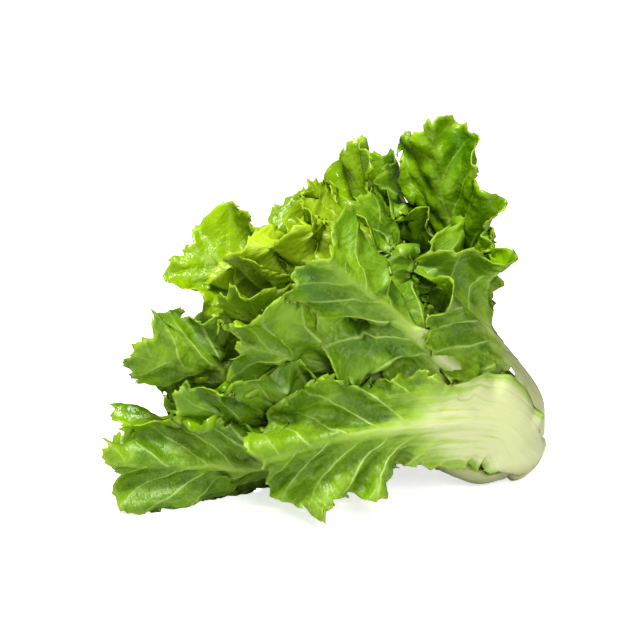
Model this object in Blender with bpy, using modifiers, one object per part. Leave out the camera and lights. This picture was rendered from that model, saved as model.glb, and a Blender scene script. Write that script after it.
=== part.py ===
"""A head of escarole lying on its side, as cut and laid on a table.

It has a short cut stem (the crown) and leaves that grow from the crown in a golden-angle
spiral: large toothed ones, outermost first, then the small ones of the curly heart.
Lengths are in millimetres until a mesh is made. Each leaf is shaped on a grid of control
points, and the grids are bent clear of each other, of the crown and of the table. A toothed
outline is then filled with triangles, laid on that shape, and thickened to a closed solid.
"""

import math
import random
from dataclasses import dataclass

import bpy
import numpy as np
from mathutils import Vector, geometry
from mathutils.bvhtree import BVHTree

MM = 0.001

# The crown, which is the stem that the leaves grow from, in the lying head's frame
CUT_CENTRE = np.array((129.0, 15.0, 11.9))
HEAD_CENTRE = np.array((5.45, 19.35, 0.0))
AXIS_LEAN = (-0.745, -0.12, 0.655)
CROWN_RADIUS = 17.0
CROWN_TOP_RADIUS = 6.0
CROWN_LENGTH = 72.0
CROWN_BEVEL = 1.5
CROWN_SIDES = 28

# The spiral in which leaves grow: each is a golden angle on, and a little further up
FIRST_TURN = 98.0
GOLDEN_TURN = 137.5
FIRST_FOOT_HEIGHT = 5.0
FOOT_RISE = 2.0
FULL_HALF_WIDTH = 46.0

# Where a leaf's midrib runs near the crown: how far up from its foot, how far out, and how much
# further out for the outermost leaf
LOW_WAY = (17.0, 4.0, 13.0)
HIGH_WAY = (48.0, 6.0, 20.0)

# The leaf's own build
BLADE_THICK = 0.9
RIB_THICK_AT_FOOT = 6.0
RIB_THICK_AT_TIP = 1.2
RIB_HALF_WIDTH_AT_FOOT = 13.0
RIB_HALF_WIDTH_AT_TIP = 2.5
FOOT_HALF_WIDTH = 12.0
FOOT_NARROWING = 1.5
PETIOLE_FULL_FROM = 0.25
WIDENS = (0.24, 0.74)
ROUNDS_FROM = 0.78
ROUNDING = 0.28
TIP_ARC = 80.0
FOOT_ARC = 6.0
ARC_GROWTH = 2.4
RIB_FADE = 1.5
YOUNG_RIB_THINNING = 1.4

# How the blade opens, twists and waves, by its place from 0 at the foot to 1 at the tip
BLADE_STARTS = 0.30
BLADE_FULL_AFTER = 0.25
OPENS = (0.15, 0.55)
TWISTS = (0.32, 0.9)
MOST_TWIST = 55.0
LEAST_HUG_RADIUS = 14.0
SIDE_EDGE_POWER = 2.2
TIP_EDGE_POWER = 5.0
WAVES_ROUND = ((5, 0.5), (9, 0.6), (13, 0.4))
WAVES_ROUND_CHANGE = 0.4

# The control grid and the bending clear of neighbours
COLUMNS = 15
ROWS = 17
SWEEPS = 60
CROSSING_SWEEPS = 24
LAST_SWEEPS = 14
RECHECK = 6
REACH = 22.0
CLEARANCE = 1.7
LOOK_AHEAD = 7.0
SMOOTH_BEND = 0.15
CROWN_CLEARANCE = 0.8
CROWN_REACH = 4.0
ASIDE = 1.5
SAME_WAY = 0.25
CROSSING_DEPTH = 4.0
SPREAD = 0.35
RELAX = 0.5

# The solid's outline and filling
TOOTH_PITCH = 12.0
TOOTH_DEPTH = 4.4
TOOTH_CHANGE = 0.2
LOBE_DEPTH = 10.0
LOBE_LENGTH = 9.0
LOBE_CHANGE_LENGTH = 21.0
SMALLER_TEETH = 1.5
SHEET_SWEEPS = 50
SHEET_REACH = 8.0
MOST_SHIFT = 1.0
SHEET_GAP = 0.8
SHEET_CROWN_GAP = 0.8
MOST_FOLD = 60.0
UNFOLD = 0.4
FLOOR_GAP = 0.1
PRESS_REACH = 1.6
PRESSED_FLAT = 0.8
TOUCH_GAP = 0.45
THINNEST = 0.65
FILL_STEP = 17.0
FILL_TO_EDGE = 0.35
FILL_BELOW_TIP = 0.45
TIP_ROW_LONGER = 0.35
PETIOLE_STEP = 17.0


@dataclass
class Leaf:
    """A leaf from its foot on the crown to its tip. Angles are in degrees."""

    name: str
    tip: tuple
    half_width: float
    faces: tuple = None
    bow: float = 0.0
    lift: float = 0.0
    cup: tuple = (25.0, 25.0)
    keel: float = 8.0
    ruffle: float = 11.0
    petiole: float = 15.0
    late: float = 0.0
    turn: float = None
    order: int = 0

    @property
    def size(self):
        """How large the leaf is beside a full-grown one."""
        return min(1.0, self.half_width / FULL_HALF_WIDTH)


# Outermost first, in the order of the spiral. faces is the way the blade's outer side looks at its
# tip, cup is how far the blade's first and second side turn in, and late is how much later than usual
# the blade begins
LARGE_LEAVES = [
    Leaf("leaf_front_low", (-44, -70, 40), 45, (-0.1, -0.98, 0.15), bow=14, lift=10, cup=(0, 10), petiole=31,
         turn=82, late=0.14),
    Leaf("leaf_back_low", (-47, 105, 9), 58, bow=12, cup=(8, 8), petiole=20),
    Leaf("leaf_right", (66, -56, 150), 48, (0.3, -0.9, 0.2), cup=(0, -10), petiole=22, late=0.1),
    Leaf("leaf_left_low", (-130, -46, 32), 52, (-0.2, -0.9, 0.3), bow=4, cup=(5, 10)),
    Leaf("leaf_back_high", (51, 95, 166), 56, bow=12, petiole=20),
    Leaf("leaf_front_high", (-8, -84, 170), 46, bow=8, cup=(0, 45), keel=26, ruffle=9, petiole=20,
         late=0.05),
    Leaf("leaf_back_left", (-109, 62, 20), 52, bow=6),
    Leaf("leaf_top_right", (62, 9, 227), 45, (0.45, 0.85, 0.1), bow=-2, cup=(10, 0), ruffle=9, petiole=20),
    Leaf("leaf_front_left_low", (-98, -56, 60), 45, bow=8),
    Leaf("leaf_back_middle", (-46, 118, 87), 54, bow=10),
    Leaf("leaf_right_inner", (68, -22, 166), 34, bow=0, ruffle=9),
    Leaf("leaf_under", (-130, 8, 40), 46, bow=2),
    Leaf("leaf_back_top", (29, 66, 194), 44, bow=8),
    Leaf("leaf_front_middle", (-56, -74, 112), 48, bow=10, cup=(10, 10)),
    Leaf("leaf_back_inner", (-100, 80, 71), 46, bow=8),
    Leaf("leaf_top_middle", (20, -13, 191), 29, bow=2, cup=(10, 20), ruffle=8),
    Leaf("leaf_left_middle", (-114, -28, 98), 47, (-0.4, -0.9, 0.0), bow=4, cup=(10, 10)),
    Leaf("leaf_back_upper", (-30, 70, 160), 42, bow=6),
    Leaf("leaf_front_upper", (26, -54, 154), 42, bow=6, cup=(0, 10)),
    Leaf("leaf_left_high", (-118, 8, 84), 44, bow=2, cup=(10, 10)),
    Leaf("leaf_top_left", (14, 38, 210), 42, (0.3, 0.9, 0.25), bow=-4, cup=(10, 10)),
    Leaf("leaf_left_top", (-62, -54, 128), 36, bow=6, cup=(20, 10)),
    Leaf("leaf_back_far", (-88, 32, 150), 42, bow=4),
    Leaf("leaf_heart_right", (-11, -5, 190), 33, bow=2),
]
SMALL_LEAVES = [
    Leaf("heart_1", (-54, -8, 150), 30, petiole=10),
    Leaf("heart_2", (-14, 42, 171), 22, petiole=8),
    Leaf("heart_3", (-24, -32, 168), 29, petiole=10),
    Leaf("heart_4", (-64, 24, 136), 25, petiole=9),
    Leaf("heart_5", (-2, 0, 190), 26, petiole=9),
    Leaf("heart_6", (-47, -20, 158), 18, petiole=6.5),
]


def unit(vector):
    """The vector, or each row of them, at length one."""
    vector = np.asarray(vector, float)
    return vector / np.linalg.norm(vector, axis=-1, keepdims=True)


AXIS = unit(AXIS_LEAN)
TOP_SIDE = unit(np.array((0.0, 0.0, 1.0)) - AXIS * AXIS[2])
FRONT_SIDE = np.cross(TOP_SIDE, AXIS)


def radial(turn):
    """The way out of the crown at this turn: 0 is the top, 90 the front and 180 below."""
    angle = math.radians(turn)
    return TOP_SIDE * math.cos(angle) + FRONT_SIDE * math.sin(angle)


def ease(start, end, x):
    """0 before start and 1 after end, smooth between."""
    share = np.clip((np.asarray(x, float) - start) / (end - start), 0.0, 1.0)
    return share * share * (3.0 - 2.0 * share)


def crown_radius(height):
    """The crown's radius at a height up its axis."""
    share = np.clip(height / CROWN_LENGTH, 0.0, 1.0)
    return CROWN_RADIUS + (CROWN_TOP_RADIUS - CROWN_RADIUS) * share


def grown():
    """All the leaves, each with its place in the spiral."""
    leaves = LARGE_LEAVES + SMALL_LEAVES
    for order, leaf in enumerate(leaves):
        leaf.order = order
        if leaf.turn is None:
            leaf.turn = FIRST_TURN + GOLDEN_TURN * order
    return leaves


def catmull(points, count):
    """Evenly spaced points on a smooth curve through the given ones."""
    points = np.array(points, float)
    padded = np.vstack((2 * points[0] - points[1], points, 2 * points[-1] - points[-2]))
    dense = []
    for i in range(1, len(padded) - 2):
        a, b, c, d = padded[i - 1 : i + 3]
        s = np.linspace(0.0, 1.0, 40, endpoint=False)[:, None]
        dense.append(
            0.5 * (2 * b + (c - a) * s + (2 * a - 5 * b + 4 * c - d) * s**2 + (3 * b - a - 3 * c + d) * s**3)
        )
    dense = np.vstack((*dense, points[-1:]))
    along = np.concatenate(([0.0], np.cumsum(np.linalg.norm(np.diff(dense, axis=0), axis=1))))
    even = np.linspace(0.0, along[-1], count)
    return np.column_stack([np.interp(even, along, dense[:, k]) for k in range(3)]), along[-1]


class Rib:
    """A leaf's midrib with its frame: which way is on, which way is out and which way is the side."""

    SAMPLES = 120

    def __init__(self, leaf, count):
        outward = radial(leaf.turn)
        outer = 1.0 - leaf.order / count
        height = FIRST_FOOT_HEIGHT + FOOT_RISE * leaf.order
        foot = crown_radius(height) + 0.5 * RIB_THICK_AT_FOOT * leaf.size + CROWN_CLEARANCE
        base = CUT_CENTRE + AXIS * height
        tip = np.array(leaf.tip, float)
        waypoints = [base + outward * foot]
        for up, out, further in (LOW_WAY, HIGH_WAY):
            waypoints += [base + AXIS * up + outward * (foot + out + further * outer)]
        waypoints += [0.5 * (waypoints[-1] + tip) + outward * leaf.bow + np.array((0.0, 0.0, leaf.lift)), tip]
        self.at, self.length = catmull(waypoints, self.SAMPLES)
        self.on = unit(np.gradient(self.at, axis=0))
        out = [outward]
        for direction in self.on:
            last = out[-1]
            out.append(unit(last - direction * (last @ direction)))
        out = np.array(out[1:])
        side = np.cross(self.on, out)
        v = np.linspace(0.0, 1.0, self.SAMPLES)
        roll = 0.0
        if leaf.faces:
            roll = math.atan2(side[-1] @ unit(leaf.faces), out[-1] @ unit(leaf.faces))
            roll = float(np.clip(roll, -math.radians(MOST_TWIST), math.radians(MOST_TWIST)))
        turn = roll * ease(*TWISTS, v)[:, None]
        self.out = out * np.cos(turn) + side * np.sin(turn)
        self.side = np.cross(self.on, self.out)
        reach = self.at - CUT_CENTRE
        self.axis_radius = np.linalg.norm(reach - np.outer(reach @ AXIS, AXIS), axis=1)

    def take(self, values, v):
        """The midrib's value at v, from 0 at the foot to 1 at the tip."""
        index = np.asarray(v, float) * (self.SAMPLES - 1)
        low = np.clip(index.astype(int), 0, self.SAMPLES - 2)
        share = index - low
        if values.ndim > 1:
            share = share[..., None]
        return values[low] * (1 - share) + values[low + 1] * share


def half_width(leaf, v):
    """Half the flat leaf's width at v."""
    foot = FOOT_HALF_WIDTH * leaf.size**FOOT_NARROWING
    foot = foot + (leaf.petiole - foot) * ease(0.0, PETIOLE_FULL_FROM, v)
    rounding = 1.0 - ROUNDING * ease(ROUNDS_FROM, 1.0, v)
    widening = ease(WIDENS[0] + leaf.late, WIDENS[1] + 0.5 * leaf.late, v)
    return (foot + (leaf.half_width - foot) * widening) * rounding


def flat_place(leaf, length, u, v):
    """Where (u, v) is on the leaf laid flat: how far across and how far along. Rows are arcs."""
    arc = np.radians(FOOT_ARC + (TIP_ARC - FOOT_ARC) * np.clip(v, 0, 1) ** ARC_GROWTH)
    radius = half_width(leaf, v) / np.sin(arc)
    across = radius * np.sin(u * arc)
    drop = radius * (1.0 - np.cos(u * arc))
    return across, length * v - drop, drop


def edge_nearness(leaf, u, v):
    """0 in the middle of the blade and on the petiole, 1 at the blade's edge."""
    inner = (1.0 - np.abs(u) ** SIDE_EDGE_POWER) * (1.0 - np.clip(v, 0, 1) ** TIP_EDGE_POWER)
    starts = BLADE_STARTS + leaf.late
    return (1.0 - inner) * ease(starts, starts + BLADE_FULL_AFTER, v)


def waves(leaf, length, u, v):
    """How far the blade's edge waves out of its surface at (u, v)."""
    draw = random.Random(leaf.name)
    across, along, _ = flat_place(leaf, length, u, v)
    around = np.arctan2(across, along - 0.5 * length)
    height = np.zeros_like(around)
    for count, share in WAVES_ROUND:
        count += draw.uniform(-WAVES_ROUND_CHANGE, WAVES_ROUND_CHANGE)
        height += share * np.sin(count * around + draw.uniform(0, 2 * math.pi))
    return leaf.ruffle * edge_nearness(leaf, u, v) * height


def control_grid(leaf, rib):
    """The leaf's surface as ROWS by COLUMNS points, before it is bent clear of the others."""
    u, v = np.meshgrid(np.linspace(-1, 1, COLUMNS), np.linspace(0, 1, ROWS))
    across, _, drop = flat_place(leaf, rib.length, u, v)
    at, on = rib.take(rib.at, v), rib.take(rib.on, v)
    out, side = rib.take(rib.out, v), rib.take(rib.side, v)
    open_share = ease(*OPENS, v)
    cup = np.radians(np.where(u < 0, leaf.cup[0], leaf.cup[1]))
    hugging = 1.0 / np.maximum(rib.take(rib.axis_radius, v), LEAST_HUG_RADIUS)
    curve = hugging * (1 - open_share) + cup / half_width(leaf, v) * open_share
    curve = np.where(np.abs(curve) < 1e-5, 1e-5, curve)
    distance = np.abs(across)
    keel = np.radians(leaf.keel) * open_share
    bent = curve * distance
    sideways = np.sin(bent) / curve
    inward = (1.0 - np.cos(bent)) / curve
    folded = sideways * np.cos(keel) - inward * np.sin(keel)
    inward = sideways * np.sin(keel) + inward * np.cos(keel)
    which = np.sign(u)
    lean = (bent + keel)[..., None]
    normal = out * np.cos(lean) + side * which[..., None] * np.sin(lean)
    points = at - on * drop[..., None] + side * (which * folded)[..., None] - out * inward[..., None]
    return points + normal * waves(leaf, rib.length, u, v)[..., None]


def thickness(leaf, length, u, v):
    """The leaf's thickness: a fleshy rib that thins towards the tip, and a thin blade."""
    across, _, _ = flat_place(leaf, length, u, v)
    fade = (1.0 - np.clip(v, 0, 1)) ** RIB_FADE
    fleshy = leaf.size**YOUNG_RIB_THINNING
    rib = fleshy * (RIB_THICK_AT_TIP + (RIB_THICK_AT_FOOT - RIB_THICK_AT_TIP) * fade)
    spread = leaf.size * (RIB_HALF_WIDTH_AT_TIP + (RIB_HALF_WIDTH_AT_FOOT - RIB_HALF_WIDTH_AT_TIP) * fade)
    return BLADE_THICK + np.maximum(rib - BLADE_THICK, 0.0) * np.exp(-((across / spread) ** 2))


def grid_faces():
    """The control grid's triangles, as rows of three point numbers."""
    faces = []
    for row in range(ROWS - 1):
        for column in range(COLUMNS - 1):
            a = row * COLUMNS + column
            faces.append((a, a + 1, a + COLUMNS + 1))
            faces.append((a, a + COLUMNS + 1, a + COLUMNS))
    return faces


def grid_normals(grid):
    """The way out of the grid's surface at each of its points."""
    down = np.gradient(grid, axis=0)
    across = np.gradient(grid, axis=1)
    return unit(np.cross(across, down) + 1e-12)


def smoothed(shift):
    """Each point's shift, evened out with its neighbours'."""
    padded = np.pad(shift, ((1, 1), (1, 1), (0, 0)), mode="edge")
    around = (padded[:-2, 1:-1] + padded[2:, 1:-1] + padded[1:-1, :-2] + padded[1:-1, 2:]) / 4
    return shift * (1 - SPREAD) + around * SPREAD


def keep_off_crown(grid, half_thick):
    """The shift that moves points out of the crown."""
    reach = grid - CUT_CENTRE
    height = reach @ AXIS
    away = reach - height[..., None] * AXIS
    distance = np.linalg.norm(away, axis=-1)
    wanted = crown_radius(height) + half_thick + CROWN_CLEARANCE
    short = np.where(height < CROWN_LENGTH + CROWN_REACH, np.maximum(wanted - distance, 0.0), 0.0)
    return unit(away) * short[..., None]


FACES = grid_faces()


def near_pairs(grids, trees):
    """For each two leaves that are close, which points of the one are near the other."""
    boxes = [(g.reshape(-1, 3).min(0) - LOOK_AHEAD, g.reshape(-1, 3).max(0) + LOOK_AHEAD) for g in grids]
    pairs = []
    for mover, grid in enumerate(grids):
        points = grid.reshape(-1, 3)
        for other, tree in enumerate(trees):
            low, high = boxes[other]
            inside = ((points > low) & (points < high)).all(axis=1)
            if mover == other or not inside.any():
                continue
            near = [k for k in np.flatnonzero(inside) if tree.find_nearest(Vector(points[k]), REACH)[0]]
            if near:
                pairs.append((mover, other, near))
    return pairs


def push_apart(mover, other, near, state, crossing):
    """Adds to the mover's shifts what takes its near points to its own side of the other leaf.

    A point where the leaves stand across each other is only moved if it is no deeper than crossing.
    """
    grids, normals, halves, trees, shifts = state
    way = 1.0 if mover < other else -1.0
    points = grids[mover].reshape(-1, 3)
    facing = normals[mover].reshape(-1, 3)
    thick = halves[mover].reshape(-1)
    other_thick = halves[other].reshape(-1)
    shift = shifts[mover].reshape(-1, 3)
    for k in near:
        found, normal, face, distance = trees[other].find_nearest(Vector(points[k]), REACH)
        if found is None:
            continue
        normal = np.array(normal)
        height = float((points[k] - np.array(found)) @ normal) * way
        sideways = math.sqrt(max(distance * distance - height * height, 0.0))
        wanted = thick[k] + other_thick[FACES[face][0]] + CLEARANCE
        beside = normal @ facing[k] > SAME_WAY or height > -crossing
        if height < wanted and sideways < ASIDE and beside:
            shift[k] += normal * way * (wanted - height) * RELAX


def bend_clear(leaves, ribs):
    """Every leaf's control grid, bent clear of the leaves inside it, the crown and the table."""
    u, v = np.meshgrid(np.linspace(-1, 1, COLUMNS), np.linspace(0, 1, ROWS))
    grids = [control_grid(leaf, rib) for leaf, rib in zip(leaves, ribs)]
    shapes = [grid.copy() for grid in grids]
    halves = [0.5 * thickness(leaf, rib.length, u, v) for leaf, rib in zip(leaves, ribs)]
    for sweep in range(SWEEPS + CROSSING_SWEEPS + LAST_SWEEPS):
        crossing = CROSSING_DEPTH if SWEEPS <= sweep < SWEEPS + CROSSING_SWEEPS else -math.inf
        normals = [grid_normals(grid) for grid in grids]
        trees = [BVHTree.FromPolygons(g.reshape(-1, 3).tolist(), FACES) for g in grids]
        shifts = [np.zeros_like(grid) for grid in grids]
        if sweep % RECHECK == 0:
            pairs = near_pairs(grids, trees)
        for mover, other, near in pairs:
            state = grids, normals, halves, trees, shifts
            push_apart(mover, other, near, state, crossing)
        for k, grid in enumerate(grids):
            if sweep < SWEEPS + CROSSING_SWEEPS:
                grid += smoothed(shifts[k]) / (1 - 0.5 * SPREAD)
                bend = grid - shapes[k]
                grid += SMOOTH_BEND * (smoothed(bend) - bend) / SPREAD
            else:
                grid += shifts[k]
            grid += keep_off_crown(grid, halves[k])
            grid[..., 2] = np.maximum(grid[..., 2], halves[k] + FLOOR_GAP)
    return grids


def spline_weights(share):
    """The weights of four points in a row for a smooth curve between the middle two."""
    s = share[:, None]
    return 0.5 * np.hstack((-s + 2 * s**2 - s**3, 2 - 5 * s**2 + 3 * s**3, s + 4 * s**2 - 3 * s**3, s**3 - s**2))


def on_surface(grid, u, v):
    """The grid's values at (u, v), on a smooth surface through its points."""
    values = grid.reshape(ROWS, COLUMNS, -1)
    values = np.concatenate((2 * values[:1] - values[1:2], values, 2 * values[-1:] - values[-2:-1]))
    values = np.concatenate((2 * values[:, :1] - values[:, 1:2], values, 2 * values[:, -1:] - values[:, -2:-1]), axis=1)
    column = (np.asarray(u) + 1) / 2 * (COLUMNS - 1)
    row = np.asarray(v) * (ROWS - 1)
    c = np.clip(column.astype(int), 0, COLUMNS - 2)
    r = np.clip(row.astype(int), 0, ROWS - 2)
    across, down = spline_weights(column - c), spline_weights(row - r)
    found = np.zeros((len(c), values.shape[2]))
    for i in range(4):
        for j in range(4):
            found += (down[:, i] * across[:, j])[:, None] * values[r + i, c + j]
    return found


def outline(leaf, length):
    """The toothed edge as (u, v), from the foot round the tip and back, and along the foot."""
    draw = random.Random(leaf.name + " teeth")
    fine = np.linspace(0.0, 1.0, 200)
    side = np.column_stack((np.full(200, -1.0), fine))
    top = np.column_stack((np.linspace(-1, 1, 200)[1:-1], np.ones(198)))
    edge = np.vstack((side, top, side[::-1] * (-1, 1)))
    across, along, _ = flat_place(leaf, length, edge[:, 0], edge[:, 1])
    run = np.concatenate(([0.0], np.cumsum(np.hypot(np.diff(across), np.diff(along)))))
    starts = np.interp(BLADE_STARTS + leaf.late, fine, run[:200])
    stations = list(np.arange(0.0, starts, PETIOLE_STEP))
    kinds = [0] * len(stations)
    while stations[-1] < run[-1] - starts:
        stations.append(stations[-1] + 0.5 * TOOTH_PITCH * draw.uniform(1 - TOOTH_CHANGE, 1 + TOOTH_CHANGE))
        kinds.append(1 if kinds[-1] == 2 else 2)
    left = np.arange(run[-1], stations[-1] + 0.4 * PETIOLE_STEP, -PETIOLE_STEP)[::-1]
    stations += list(left)
    kinds += [0] * len(left)
    waves_round = draw.uniform(0, 6)
    points = []
    for at, kind in zip(stations, kinds):
        u, v = (np.interp(at, run, edge[:, k]) for k in (0, 1))
        swing = math.sin(at / LOBE_LENGTH + waves_round + math.sin(at / LOBE_CHANGE_LENGTH))
        lobe = LOBE_DEPTH * 0.5 * (1.0 + swing)
        depth = (lobe + TOOTH_DEPTH * (kind == 2)) if kind else 0.0
        depth *= min(1.0, (leaf.half_width / FULL_HALF_WIDTH) ** SMALLER_TEETH)
        inward = 1.0 - depth / half_width(leaf, v)
        points.append((u * inward, v - depth / length * ease(0.9, 1.0, v) * (1 - u * u)))
    foot = [(u, 0.0) for u in (0.5, 0.0, -0.5)]
    return points + foot


def filling(leaf, length, edge):
    """Points (u, v) inside the outline, in staggered rows about FILL_STEP apart."""
    flat_edge = np.column_stack(flat_place(leaf, length, *np.array(edge).T)[:2])
    rows = int(round(length / FILL_STEP))
    points = []
    for row in range(1, rows + 1):
        v = row / (rows + FILL_BELOW_TIP)
        width = 2 * half_width(leaf, v) * (1.0 + TIP_ROW_LONGER * v * v)
        count = max(1, int(round(width / FILL_STEP)) - 1)
        count += 1 - count % 2
        for u in np.linspace(-1, 1, count + 2)[1:-1]:
            x, y, _ = flat_place(leaf, length, u, v)
            if np.min(np.hypot(flat_edge[:, 0] - x, flat_edge[:, 1] - y)) > FILL_TO_EDGE * FILL_STEP:
                points.append((u, v))
    return points


def leaf_sheet(leaf, length):
    """The flat leaf as (u, v) of each point, and triangles between them."""
    edge = outline(leaf, length)
    points = edge + filling(leaf, length, edge)
    uv = np.array(points)
    across, along, _ = flat_place(leaf, length, uv[:, 0], uv[:, 1])
    flat = [Vector((x, y)) for x, y in zip(across, along)]
    ring = list(range(len(edge)))
    made = geometry.delaunay_2d_cdt(flat, [], [ring], 1, 1e-6)
    source = [group[0] if group else None for group in made[3]]
    faces = [[source[i] for i in face] for face in made[2]]
    faces = [face for face in faces if None not in face]
    used = sorted({i for face in faces for i in face})
    number = {old: new for new, old in enumerate(used)}
    return uv[used], [[number[i] for i in face] for face in faces]


def neighbours(faces, count):
    """For each point, the points it shares an edge with, and for each inner edge, its ends and two triangles."""
    around = [set() for _ in range(count)]
    beside = {}
    for number, (a, b, c) in enumerate(faces):
        for start, end in ((a, b), (b, c), (c, a)):
            around[start].add(end)
            around[end].add(start)
            beside.setdefault((min(start, end), max(start, end)), []).append(number)
    inner = [(*edge, *pair) for edge, pair in beside.items() if len(pair) == 2]
    return [sorted(near) for near in around], np.array(inner)


def unfold(at, faces, around, inner):
    """Eases points on a sharp fold towards their neighbours."""
    corners = at[np.array(faces)]
    normals = unit(np.cross(corners[:, 1] - corners[:, 0], corners[:, 2] - corners[:, 0]) + 1e-12)
    sharp = (normals[inner[:, 2]] * normals[inner[:, 3]]).sum(axis=1) < math.cos(math.radians(MOST_FOLD))
    for k in np.unique(inner[sharp, :2]):
        at[k] += UNFOLD * (at[around[k]].mean(axis=0) - at[k])


def sheets_apart(places, faces, thick):
    """Moves the points of sheets that are too near each other, each to its own side."""
    links = [neighbours(tris, len(at)) for at, tris in zip(places, faces)]
    for _ in range(SHEET_SWEEPS):
        trees = [BVHTree.FromPolygons(at.tolist(), tris) for at, tris in zip(places, faces)]
        shifts = [np.zeros_like(at) for at in places]
        for mover, points in enumerate(places):
            for other, tree in enumerate(trees):
                if other == mover:
                    continue
                way = 1.0 if mover < other else -1.0
                for k, point in enumerate(points):
                    found, normal, face, distance = tree.find_nearest(Vector(point), SHEET_REACH)
                    if found is None:
                        continue
                    normal = np.array(normal)
                    height = float((point - np.array(found)) @ normal) * way
                    sideways = math.sqrt(max(distance * distance - height * height, 0.0))
                    both = 0.5 * (thick[mover][k] + max(thick[other][i] for i in faces[other][face]))
                    if height < both + SHEET_GAP and sideways < ASIDE:
                        shift = min((both + SHEET_GAP - height) * RELAX, MOST_SHIFT)
                        shifts[mover][k] += normal * way * shift
        for at, tris, shift, half, (around, inner) in zip(places, faces, shifts, thick, links):
            at += shift
            unfold(at, tris, around, inner)
            at += keep_off_crown(at, 0.5 * half + SHEET_CROWN_GAP)
            lowest = 0.5 * half + FLOOR_GAP
            at[:, 2] = np.where(at[:, 2] < lowest + PRESS_REACH, lowest, at[:, 2])


def thin_where_pressed(places, faces, thick):
    """Thins leaves where they all but touch, so that their solids stay TOUCH_GAP apart."""
    trees = [BVHTree.FromPolygons(at.tolist(), tris) for at, tris in zip(places, faces)]
    wanted = [leaf_thick.copy() for leaf_thick in thick]
    for mover, points in enumerate(places):
        for k, point in enumerate(points):
            for other, tree in enumerate(trees):
                reach = 0.5 * (thick[mover][k] + RIB_THICK_AT_FOOT) + TOUCH_GAP
                found, _, face, distance = tree.find_nearest(Vector(point), reach) if other != mover else (None,) * 4
                if found is None:
                    continue
                both = 0.5 * (thick[mover][k] + max(thick[other][i] for i in faces[other][face]))
                share = (distance - TOUCH_GAP) / both
                wanted[mover][k] = min(wanted[mover][k], thick[mover][k] * share)
    for leaf_thick, leaf_wanted in zip(thick, wanted):
        leaf_thick[:] = np.maximum(leaf_wanted, THINNEST)


def leaf_object(leaf, places, faces, thick):
    """The leaf as a thin closed solid round its middle surface, pressed flat where it meets the table."""
    sheet = bpy.data.meshes.new(leaf.name + " sheet")
    sheet.from_pydata(((places - HEAD_CENTRE) * MM).tolist(), [], faces)
    solid = bpy.data.objects.new(leaf.name + " sheet", sheet)
    group = solid.vertex_groups.new(name="thickness")
    for k, size in enumerate(thick):
        group.add([k], float(size / RIB_THICK_AT_FOOT), "REPLACE")
    shell = solid.modifiers.new("leaf thickness", "SOLIDIFY")
    shell.thickness = RIB_THICK_AT_FOOT * MM
    shell.offset = 0.0
    shell.vertex_group = group.name
    bpy.context.scene.collection.objects.link(solid)
    graph = bpy.context.evaluated_depsgraph_get()
    mesh = bpy.data.meshes.new_from_object(solid.evaluated_get(graph))
    bpy.data.objects.remove(solid)
    mesh.name = leaf.name
    for vertex in mesh.vertices:
        if vertex.co.z < PRESSED_FLAT * MM:
            vertex.co.z = 0.0
    return bpy.data.objects.new(leaf.name, mesh)


# Linear colours of an outer leaf, of the innermost one and of the cut stem
OUTER_GREEN = np.array((0.20, 0.42, 0.02))
HEART_GREEN = np.array((0.42, 0.58, 0.03))
CUT_STEM = (0.78, 0.76, 0.50)
LEAF_ROUGHNESS = 0.45
STEM_ROUGHNESS = 0.6


def finish(name, colour, roughness):
    """A plain material for one piece."""
    material = bpy.data.materials.new(name)
    material.use_nodes = True
    shader = material.node_tree.nodes["Principled BSDF"]
    shader.inputs["Base Color"].default_value = (*colour, 1.0)
    shader.inputs["Roughness"].default_value = roughness
    shader.inputs["Metallic"].default_value = 0.0
    return material


def crown():
    """The cut stem."""
    profile = [
        (0.0, CROWN_LENGTH),
        (CROWN_TOP_RADIUS - CROWN_BEVEL, CROWN_LENGTH),
        (CROWN_TOP_RADIUS, CROWN_LENGTH - CROWN_BEVEL),
        (CROWN_RADIUS, CROWN_BEVEL),
        (CROWN_RADIUS - CROWN_BEVEL, 0.0),
        (0.0, 0.0),
    ]
    points = [(radius * MM, 0.0, height * MM) for radius, height in profile]
    mesh = bpy.data.meshes.new("crown")
    mesh.from_pydata(points, [(i, i + 1) for i in range(len(points) - 1)], [])
    stem = bpy.data.objects.new("crown", mesh)
    turned = stem.modifiers.new("turned", "SCREW")
    turned.steps = turned.render_steps = CROWN_SIDES
    turned.use_merge_vertices = True
    turned.merge_threshold = 0.0001
    stem.rotation_mode = "QUATERNION"
    stem.rotation_quaternion = Vector(AXIS).to_track_quat("Z", "Y")
    stem.location = (CUT_CENTRE - HEAD_CENTRE) * MM
    return stem


def clear_scene():
    for old in list(bpy.data.objects):
        bpy.data.objects.remove(old)


def main():
    clear_scene()
    head = bpy.data.collections.new("escarole")
    bpy.context.scene.collection.children.link(head)
    leaves = grown()
    ribs = [Rib(leaf, len(leaves)) for leaf in leaves]
    grids = bend_clear(leaves, ribs)
    sheets = [leaf_sheet(leaf, rib.length) for leaf, rib in zip(leaves, ribs)]
    places = [on_surface(grid, *uv.T) for grid, (uv, _) in zip(grids, sheets)]
    faces = [tris for _, tris in sheets]
    thick = [thickness(leaf, rib.length, *uv.T) for leaf, rib, (uv, _) in zip(leaves, ribs, sheets)]
    sheets_apart(places, faces, thick)
    thin_where_pressed(places, faces, thick)
    for leaf, *shape in zip(leaves, places, faces, thick):
        solid = leaf_object(leaf, *shape)
        youth = leaf.order / len(leaves)
        green = OUTER_GREEN * (1.0 - youth) + HEART_GREEN * youth
        solid.data.materials.append(finish(leaf.name, green, LEAF_ROUGHNESS))
        head.objects.link(solid)
    stem = crown()
    stem.data.materials.append(finish("crown", CUT_STEM, STEM_ROUGHNESS))
    head.objects.link(stem)


main()
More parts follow.
